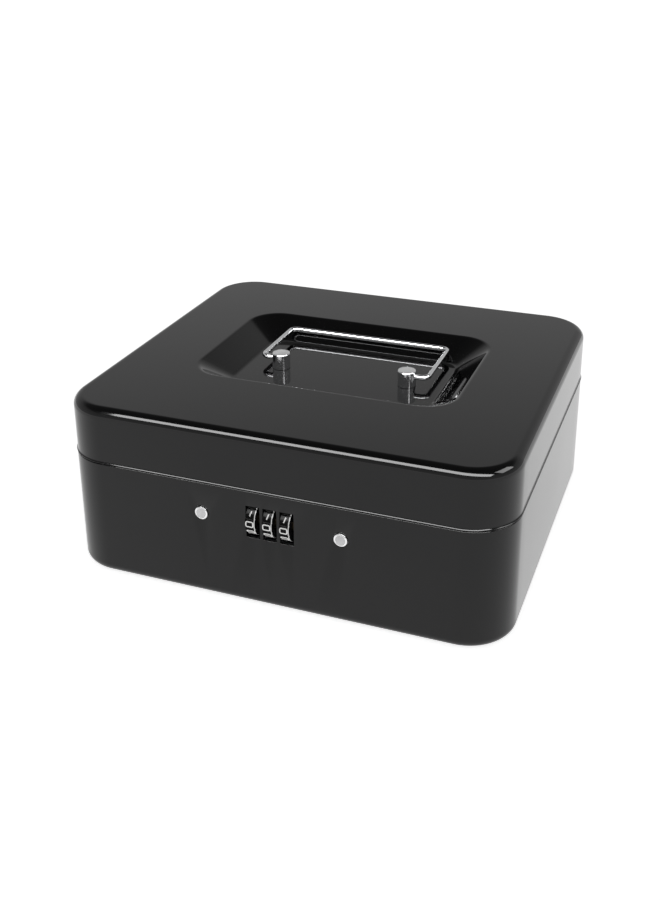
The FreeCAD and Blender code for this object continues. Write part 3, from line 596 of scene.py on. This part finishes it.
def base_skin():
    mesh = bmesh.new()
    inner_inset = BASE_INSET + SHEET
    edge_inset = BASE_INSET + BASE_EDGE
    rings = [inset_ring(edge_inset + FLOOR_RING, FLOOR), inset_ring(edge_inset + SUPPORT, FLOOR)]
    rings += [inset_ring(edge_inset - across, FLOOR + BASE_EDGE + up)
              for across, up in arc((0, 0), BASE_EDGE, -90, 0)]
    rings += [inset_ring(BASE_INSET, FLOOR + BASE_EDGE + SUPPORT),
              inset_ring(BASE_INSET, SHOULDER - SHOULDER_ROUND - SUPPORT)]
    rings += [inset_ring(BASE_INSET + SHOULDER_ROUND - across, SHOULDER - SHOULDER_ROUND + up)
              for across, up in arc((0, 0), SHOULDER_ROUND, 0, 90, 5)]
    rings += [inset_ring(COLLAR_INSET, SHOULDER),
              inset_ring(COLLAR_INSET, COLLAR_TOP - CUT_ROUND),
              inset_ring(COLLAR_INSET + CUT_ROUND, COLLAR_TOP),
              inset_ring(COLLAR_INSET + SHEET - CUT_ROUND, COLLAR_TOP),
              inset_ring(COLLAR_INSET + SHEET, COLLAR_TOP - CUT_ROUND),
              inset_ring(COLLAR_INSET + SHEET, SHOULDER - SHEET),
              inset_ring(inner_inset, SHOULDER - SHEET),
              inset_ring(inner_inset, FLOOR + BASE_EDGE + SUPPORT)]
    rings += [inset_ring(edge_inset - across, FLOOR + BASE_EDGE + up)
              for across, up in arc((0, 0), BASE_EDGE - SHEET, 0, -90)]
    rings += [inset_ring(edge_inset + SUPPORT, FLOOR + SHEET),
              inset_ring(edge_inset + FLOOR_RING, FLOOR + SHEET)]
    made = skin_rings(mesh, rings)
    close_ring(mesh, list(reversed(made[0])))
    close_ring(mesh, made[-1])
    skin = new_object("base_skin", mesh)
    cut(skin, hinge_openings() + collar_openings() + front_openings())
    wheel_low, wheel_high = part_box("number_wheel_middle")
    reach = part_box("button_right")[1].x + OPENING_MARGIN
    soften_openings(skin, BASE_FRONT, (-reach, wheel_low.z - OPENING_MARGIN),
                    (reach, wheel_high.z + OPENING_MARGIN), OPENING_ROUND)
    finish_shading(skin)
    return skin


def front_openings():
    """Cutters for the wheel windows and the button holes."""
    cutters = []
    low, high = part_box("number_wheel_middle")
    height = (low.z + high.z) / 2
    for index in (-1, 0, 1):
        x = index * WINDOW_PITCH
        cutters.append(box_cutter((x - WINDOW_WIDTH / 2, BASE_FRONT - SHEET, height - WINDOW_HEIGHT / 2),
                                  (x + WINDOW_WIDTH / 2, BASE_FRONT + 2 * SHEET, height + WINDOW_HEIGHT / 2)))
    for name in ("button_left", "button_right"):
        low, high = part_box(name)
        middle = (low + high) / 2
        radius = (high.x - low.x) / 2 + BUTTON_GAP
        start = Vector((middle.x, BASE_FRONT - SHEET, middle.z))
        cutters.append(round_cutter(radius, start, 3 * SHEET, AXIS_Y, AXIS_X))
    return cutters


# ---- handle --------------------------------------------------------------------------------------
def sweep(mesh, path, radius, sides=28):
    """Round wire along a path in a level plane, with softened ends."""
    rings = []
    for index, point in enumerate(path):
        before = path[max(index - 1, 0)]
        after = path[min(index + 1, len(path) - 1)]
        ahead = (after - before).normalized()
        across = ahead.cross(AXIS_Z).normalized()
        ring = []
        for step in range(sides):
            angle = math.tau * step / sides
            ring.append(point + (across * math.cos(angle) + AXIS_Z * math.sin(angle)) * radius)
        rings.append(ring)
    for end, inward in ((0, 1), (-1, -2)):
        step = (path[inward] - path[end]).normalized() * WIRE_END
        tip = [path[end] + (point - path[end]) * (1 - WIRE_END / radius) for point in rings[end]]
        rings[end] = [point + step for point in rings[end]]
        if end == 0:
            rings.insert(0, tip)
        else:
            rings.append(tip)
    made = skin_rings(mesh, rings)
    close_ring(mesh, list(reversed(made[0])))
    close_ring(mesh, made[-1])


def handle_wire():
    low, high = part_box("handle_bail")
    radius = (high.z - low.z) / 2
    leg = high.x - radius
    near = low.y + radius
    far = high.y - radius
    z = low.z + radius
    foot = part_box("handle_post_right")[1].x - WIRE_ENGAGEMENT
    corners = [Vector(place) for place in ((foot, near, z), (leg, near, z), (leg, far, z),
                                           (-leg, far, z), (-leg, near, z), (-foot, near, z))]
    mesh = bmesh.new()
    sweep(mesh, fillet_path(corners, WIRE_BEND, 14), radius)
    return new_object("handle_wire", mesh, 40)


def post(name, side):
    """Turned stud with a bevelled cap and the cross hole for the wire's foot."""
    low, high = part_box(name)
    radius = (high.x - low.x) / 2
    height = high.z - low.z
    start = Vector(((low.x + high.x) / 2, (low.y + high.y) / 2, low.z))
    cap = radius - POST_BEVEL - 0.05 * MM
    profile = [(0, 0), (radius - 0.2 * MM, 0), (radius, 0.2 * MM), (radius, 0.7 * MM),
               (radius, height - 1.1 * MM), (radius, height - 0.45 * MM)]
    profile += [(cap + across, up + height - POST_BEVEL)
                for across, up in arc((0, 0), POST_BEVEL, 15, 90, 5)]
    profile += [(cap - 0.15 * MM, height - 0.06 * MM), (cap - 0.5 * MM, height - 0.05 * MM),
                (0, height - 0.03 * MM)]
    mesh = bmesh.new()
    lathe(mesh, profile, start, AXIS_Z, AXIS_X)
    stud = new_object(name + "_turned", mesh, 25)
    wire_low, wire_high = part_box("handle_bail")
    hole_x = start.x + side * (radius - WIRE_ENGAGEMENT)
    hole_start = Vector((hole_x, start.y, (wire_low.z + wire_high.z) / 2))
    hole_radius = (wire_high.z - wire_low.z) / 2 + WIRE_HOLE_GAP
    cut(stud, [round_cutter(hole_radius, hole_start, 2 * radius, AXIS_X * side, AXIS_Z)])
    finish_shading(stud, 25)
    return stud


# ---- buttons -------------------------------------------------------------------------------------
def push_button(name):
    """Button with a bevelled ring, a sunk flat face, the groove for its clip and a stem."""
    low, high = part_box(name)
    radius = (high.x - low.x) / 2
    length = high.y - low.y
    start = Vector(((low.x + high.x) / 2, low.y, (low.z + high.z) / 2))
    clip_low, clip_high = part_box(name.replace("button", "button_clip"))
    stem = BUTTON_STEM
    groove = clip_low.y - low.y
    shoulder = clip_high.y - low.y
    face = radius - BUTTON_RING
    profile = [(0, 0.16 * MM), (face - 0.1 * MM, 0.16 * MM), (face, 0.12 * MM), (face + 0.14 * MM, 0.02 * MM),
               (face + 0.3 * MM, 0), (radius - 0.42 * MM, 0.1 * MM), (radius - 0.12 * MM, 0.3 * MM),
               (radius, 0.6 * MM), (radius, groove), (stem, groove), (stem, shoulder), (radius, shoulder),
               (radius, shoulder + SHEET), (stem, shoulder + SHEET), (stem, length), (0, length)]
    mesh = bmesh.new()
    lathe(mesh, profile, start, AXIS_Y, AXIS_X)
    button = new_object(name + "_turned", mesh, 28)
    return button, start, face


# ---- number wheels -------------------------------------------------------------------------------
def wheel_radius_at(angle, radius):
    """Radius of the fluted rim at an angle: the flutes lie midway between the digits."""
    step = math.tau / DIGITS
    offset = (angle / step) % 1 - 0.5
    turn = offset * step
    centre = radius + FLUTE / 3
    inside = FLUTE ** 2 - (centre * math.sin(turn)) ** 2
    if inside <= 0:
        return radius
    return min(radius, centre * math.cos(turn) - math.sqrt(inside))


def number_wheel(name):
    low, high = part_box(name)
    radius = (high.z - low.z) / 2 - INLAY_LIFT
    centre_y = (low.y + high.y) / 2
    centre_z = (low.z + high.z) / 2
    steps = 5 * TURN_STEPS

    def ring(x, drop=None):
        points = []
        for step in range(steps):
            angle = math.tau * step / steps
            reach = WHEEL_BORE if drop is None else wheel_radius_at(angle, radius) - drop
            points.append(Vector((x, centre_y - reach * math.cos(angle), centre_z + reach * math.sin(angle))))
        return points

    edge = WHEEL_EDGE
    rings = [ring(low.x), ring(low.x, WHEEL_WEB), ring(low.x, edge)]
    rings += [ring(low.x + edge - across, edge - up) for across, up in arc((0, 0), edge, 30, 90, 3)]
    rings += [ring(high.x - edge + across, edge - up)
              for across, up in reversed(arc((0, 0), edge, 0, 90, 4))]
    rings += [ring(high.x, WHEEL_WEB), ring(high.x)]
    mesh = bmesh.new()
    skin_rings(mesh, rings, closed=True)
    return new_object(name + "_moulded", mesh, 35)


def digit_strokes(digit):
    """Centre lines of one numeral, as open or closed paths of (across, up)."""
    w = DIGIT_WIDTH / 2
    h = DIGIT_HEIGHT / 2
    box = [(w, h), (-w, h), (-w, -h), (w, -h)]
    lean = 0.35 * MM
    shapes = {
        0: [box + box[:2]],
        1: [[(-lean / 2, -h), (lean * 1.5, h)]],
        2: [[(-w, h), (w, h), (w, 0), (-w, 0), (-w, -h), (w, -h)]],
        3: [[(-w, h), (w, h), (w, -h), (-w, -h)], [(-w / 2, 0), (w, 0)]],
        4: [[(-w, h), (-w, 0), (w, 0)], [(w, h), (w, -h)]],
        5: [[(w, h), (-w, h), (-w, 0), (w, 0), (w, -h), (-w, -h)]],
        6: [[(w, h), (-w, h), (-w, -h), (w, -h), (w, 0), (-w, 0)]],
        7: [[(-w, h), (w, h), (0, -h)]],
        8: [box + box[:2], [(-w, 0), (w, 0)]],
        9: [[(w, 0), (-w, 0), (-w, h), (w, h), (w, -h), (-w, -h)]],
    }
    return shapes[digit]


def stroke_points(corners):
    """Finely stepped path with round corners; a closed outline repeats its first two corners."""
    flat = [Vector((across, up, 0)) for across, up in corners]
    path = fillet_path(flat, DIGIT_CORNER, 6) if len(flat) > 2 else flat
    if len(corners) == 6 and corners[:2] == corners[-2:]:
        half = (len(path) - 2) // 4
        path = path[1:1 + 4 * half] + [path[1]]
    fine = []
    for first, second in zip(path, path[1:]):
        pieces = max(1, math.ceil((second - first).length / DIGIT_STEP))
        fine += [first.lerp(second, piece / pieces) for piece in range(pieces)]
    fine.append(path[-1])
    return fine


def digits_and_rim_highlight(name):
    """The ten numerals of a wheel and a white ring near its right edge that is a painted highlight, as one
    inlay curved round the rim.
    """
    low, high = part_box(name)
    radius = (high.z - low.z) / 2 - INLAY_LIFT
    centre = Vector((low.x + DIGIT_CENTRE, (low.y + high.y) / 2, (low.z + high.z) / 2))
    mesh = bmesh.new()

    def on_rim(across, angle, lift):
        reach = radius + lift
        return centre + Vector((across, -reach * math.cos(angle), reach * math.sin(angle)))

    for digit in range(DIGITS):
        middle = digit * math.tau / DIGITS
        for corners in digit_strokes(digit):
            path = stroke_points(corners)
            rings = []
            for index, point in enumerate(path):
                closed = (path[0] - path[-1]).length < 0.001 * MM
                before = path[index - 1] if index else (path[-2] if closed else point)
                after = path[index + 1] if index + 1 < len(path) else (path[1] if closed else point)
                ahead = (after - before).normalized()
                side = Vector((-ahead.y, ahead.x, 0)) * DIGIT_STROKE / 2
                ring = []
                for way, lift in INLAY_SECTION:
                    spot = point + way * side
                    ring.append(on_rim(spot.x, middle + spot.y / radius, lift))
                rings.append(ring)
            made = skin_rings(mesh, rings)
            close_ring(mesh, list(reversed(made[0])))
            close_ring(mesh, made[-1])
    # White ring round the rim near its right edge: a painted highlight of the rounded edge.
    highlight_middle = high.x - WHEEL_EDGE - RIM_HIGHLIGHT_WIDTH / 2 - centre.x
    rings = []
    for step in range(TURN_STEPS * 4):
        angle = math.tau * step / (TURN_STEPS * 4)
        dip = wheel_radius_at(angle, radius) - radius
        rings.append([on_rim(highlight_middle - way * RIM_HIGHLIGHT_WIDTH / 2, angle, dip + lift)
                      for way, lift in INLAY_SECTION])
    skin_rings(mesh, rings, closed=True)
    return new_object(name + "_numerals_and_painted_highlight", mesh, 30)


def return_springs():
    """The two coil springs behind the latch, wound round its guide pins."""
    low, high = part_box("latch_springs")
    outside = (high.z - low.z) / 2
    coil = outside - SPRING_WIRE / 2
    centre_z = (low.z + high.z) / 2
    start = low.y + SPRING_WIRE / 2
    length = high.y - low.y - SPRING_WIRE
    steps = 28 * SPRING_TURNS
    sides = 10
    mesh = bmesh.new()
    for centre_x in (low.x + outside, high.x - outside):
        rings = []
        for step in range(steps + 1):
            share = step / steps
            turn = math.tau * SPRING_TURNS * share
            outward = Vector((math.cos(turn), 0, math.sin(turn)))
            middle = Vector((centre_x, start + length * share, centre_z)) + outward * coil
            angles = [math.tau * side / sides for side in range(sides)]
            rings.append([middle + (AXIS_Y * math.cos(angle) + outward * math.sin(angle)) * SPRING_WIRE / 2
                          for angle in angles])
        made = skin_rings(mesh, rings)
        close_ring(mesh, list(reversed(made[0])))
        close_ring(mesh, made[-1])
    return new_object("return_springs", mesh, 40)


# ---- finishes and pieces -------------------------------------------------------------------------
black = enamel()
bright = chrome("bright_chrome_wire")
stud_side = chrome("bright_chrome_stud", 0.07, (0.62, 0.625, 0.635))
# Brushed steel for the stud tops, its tone raised above the sides' so that the upward tops read brighter:
# partly the cap's own finish, partly painted sheen.
top_cap_sheen_steel = satin_steel("brushed_top_with_painted_sheen", (0.88, 0.885, 0.89), 0.22, grain=(3.0, 40.0, 3.0))
button_ring = chrome("button_ring_chrome", 0.12, (0.86, 0.86, 0.865))
button_face = satin_steel("button_face_satin", (0.5, 0.5, 0.505), 0.34, scale=1400)
wheel_black = plastic("wheel_gloss_black", (0.003, 0.003, 0.0032), 0.22, 1200, 0.01)
wheel_black.node_tree.nodes["Principled BSDF"].inputs["Specular IOR Level"].default_value = 0.08
print_and_highlight_white = make_print_and_highlight_white()

place(lid_skin(), "lid", "black_paint", black, "lid_shell")
place(base_skin(), "base", "black_paint", black, "base_shell")
place(handle_wire(), "handle", "bright_chrome", bright, "handle_bail")
for name, side in (("handle_post_left", -1), ("handle_post_right", 1)):
    stud = place(post(name, side), "lid", "bright_chrome", stud_side, name)
    stud.data.materials.append(top_cap_sheen_steel)
    low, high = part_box(name)
    # the upward top faces take the brushed cap, whose raised tone is partly painted sheen
    for face in stud.data.polygons:
        if face.normal.z > 0.9 and face.center.z > high.z - 0.1 * MM:
            face.material_index = 1
for name in ("button_left", "button_right"):
    button, front, face_radius = push_button(name)
    place(button, name, "button_steel", button_ring, name)
    button.data.materials.append(button_face)
    for face in button.data.polygons:
        offset = face.center - front
        if offset.y < 0.2 * MM and math.hypot(offset.x, offset.z) < face_radius - 0.05 * MM:
            face.material_index = 1
for side in ("left", "middle", "right"):
    node = "number_wheel_" + side
    body = "wheel_" + side
    place(number_wheel(node), body, "wheel_plastic", wheel_black, node)
    # The numerals are print; the white ring made with them is a painted highlight.
    place(digits_and_rim_highlight(node), body, "wheel_plastic", print_and_highlight_white)

hinge_steel = satin_steel("hinge_rolled_steel", (0.42, 0.42, 0.43), 0.32, grain=(40.0, 4.0, 4.0))
pin_steel = satin_steel("turned_pin_steel", (0.6, 0.6, 0.61), 0.2, grain=(3.0, 60.0, 60.0))
spring_steel = satin_steel("spring_wire", (0.5, 0.5, 0.51), 0.26, scale=1500)
zinc_plate = zinc("zinc_plated_steel", (0.58, 0.59, 0.6))
black_zinc = zinc("black_zinc_steel", (0.035, 0.035, 0.037))
tumbler_dark = satin_steel("blackened_brass", (0.07, 0.055, 0.035), 0.36)
tray_black = plastic("tray_black_moulding", (0.013, 0.013, 0.014), 0.42)
cover_black = plastic("cover_black_moulding", (0.02, 0.02, 0.021), 0.5, 600, 0.05)
finishes = {
    hinge_steel: ("hinge_leaf_base_left", "hinge_leaf_base_right",
                  "hinge_leaf_lid_left", "hinge_leaf_lid_right"),
    pin_steel: ("hinge_pin_left", "hinge_pin_right", "guide_pins", "dial_shaft",
                "fence_rivets", "post_screws", "post_washers", "cover_screws"),
    spring_steel: ("detent_spring", "button_clip_left", "button_clip_right"),
    zinc_plate: ("latch_slide", "fence_comb", "striker_left", "striker_right", "code_lever",
                 "tray_ledge_left", "tray_ledge_right"),
    black_zinc: ("lock_frame",),
    tumbler_dark: ("tumbler_left", "tumbler_middle", "tumbler_right"),
    tray_black: ("coin_tray",),
    cover_black: ("lock_cover",),
}
for material, nodes in finishes.items():
    for node in nodes:
        dress(node, material)

springs = place(return_springs(), "base", "spring_steel", spring_steel, "latch_springs")
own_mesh(springs)


# ---- studio --------------------------------------------------------------------------------------
FLOOR_GLOW = 0.82           # lit from below like a light table, so that hardly any shadow shows
FAR_GLOW = 1.05


def studio_floor():
    mesh = bmesh.new()
    bmesh.ops.create_grid(mesh, x_segments=24, y_segments=24, size=9)
    plane = new_object("studio_floor", mesh)
    finish = Finish("pale_paper", (0.9, 0.9, 0.9), 0.75)
    finish.tint(finish.ranged(finish.noise(3, detail=3), 0.3, 0.7), (0.92, 0.92, 0.92))
    finish.shader.inputs["Specular IOR Level"].default_value = 0.0
    finish.shader.inputs["Emission Color"].default_value = (1, 1, 1, 1)
    distance = finish.add("ShaderNodeVectorMath", operation="LENGTH")
    finish.link(finish.position, distance.inputs[0])
    glow = finish.ranged(distance.outputs["Value"], 0.45, 1.4, FLOOR_GLOW, FAR_GLOW)
    finish.link(glow, finish.shader.inputs["Emission Strength"])
    plane.data.materials.append(finish.done())


def softbox(name, centre, target, width, height, power, glossy=True, diffuse=True):
    """Area light aimed at a target; it may be left out of reflections or of matt surfaces."""
    light = bpy.data.lights.new(name, "AREA")
    light.shape = "RECTANGLE"
    light.size = width
    light.size_y = height
    light.energy = power
    lamp = bpy.data.objects.new(name, light)
    lamp.location = centre
    lamp.visible_glossy = glossy
    lamp.visible_diffuse = diffuse
    lamp.rotation_euler = (Vector(target) - Vector(centre)).to_track_quat("-Z", "Y").to_euler()
    bpy.context.scene.collection.objects.link(lamp)


def backdrop():
    """Room round the table: a lit band above the horizon, dark overhead."""
    world = bpy.data.worlds.new("studio")
    world.use_nodes = True
    tree = world.node_tree
    shader = tree.nodes["Background"]
    place_on = tree.nodes.new("ShaderNodeTexCoord")
    split = tree.nodes.new("ShaderNodeSeparateXYZ")
    ramp = tree.nodes.new("ShaderNodeValToRGB")
    tree.links.new(place_on.outputs["Generated"], split.inputs[0])
    tree.links.new(split.outputs["Z"], ramp.inputs[0])
    tree.links.new(ramp.outputs["Color"], shader.inputs["Color"])
    levels = ((0.0, 0.66), (0.3, 0.58), (0.5, 0.5), (0.66, 0.13), (1.0, 0.09))
    while len(ramp.color_ramp.elements) < len(levels):
        ramp.color_ramp.elements.new(0.5)
    for element, (height, level) in zip(ramp.color_ramp.elements, levels):
        element.position = height
        element.color = (level, level, level, 1)
    bpy.context.scene.world = world


def camera():
    """Camera above and to the right of the front, with a small upward shift of the frame."""
    azimuth = math.radians(21.01)
    elevation = math.radians(21.33)
    roll = math.radians(-0.47)
    forward = Vector((-math.sin(azimuth) * math.cos(elevation), math.cos(azimuth) * math.cos(elevation),
                      -math.sin(elevation)))
    level = Vector((math.cos(azimuth), math.sin(azimuth), 0))
    upright = level.cross(forward)
    right = level * math.cos(roll) + upright * math.sin(roll)
    up = right.cross(forward)
    lens = bpy.data.cameras.new("camera")
    lens.lens = 45.345
    lens.sensor_width = 36
    lens.shift_y = -0.1333
    lens.clip_start = 0.01
    view = bpy.data.objects.new("camera", lens)
    view.matrix_world = Matrix.Translation((0.2109, -0.5725, 0.35497)) @ Matrix(
        (right, up, -forward)).transposed().to_4x4()
    bpy.context.scene.collection.objects.link(view)
    bpy.context.scene.camera = view


studio_floor()
backdrop()
softbox("front_softbox", (0.3, -0.83, 0.98), (0.3, 0, 0.08), 2.1, 0.5, 54, diffuse=False)
softbox("overhead_fill", (0, -0.2, 1.6), (0, 0, 0), 1.6, 1.6, 2, glossy=False)
softbox("right_softbox", (1.0, 0.1, 0.9), (0.1, 0, 0.08), 0.7, 0.5, 8, diffuse=False)
camera()
bpy.context.scene.view_settings.view_transform = "Standard"
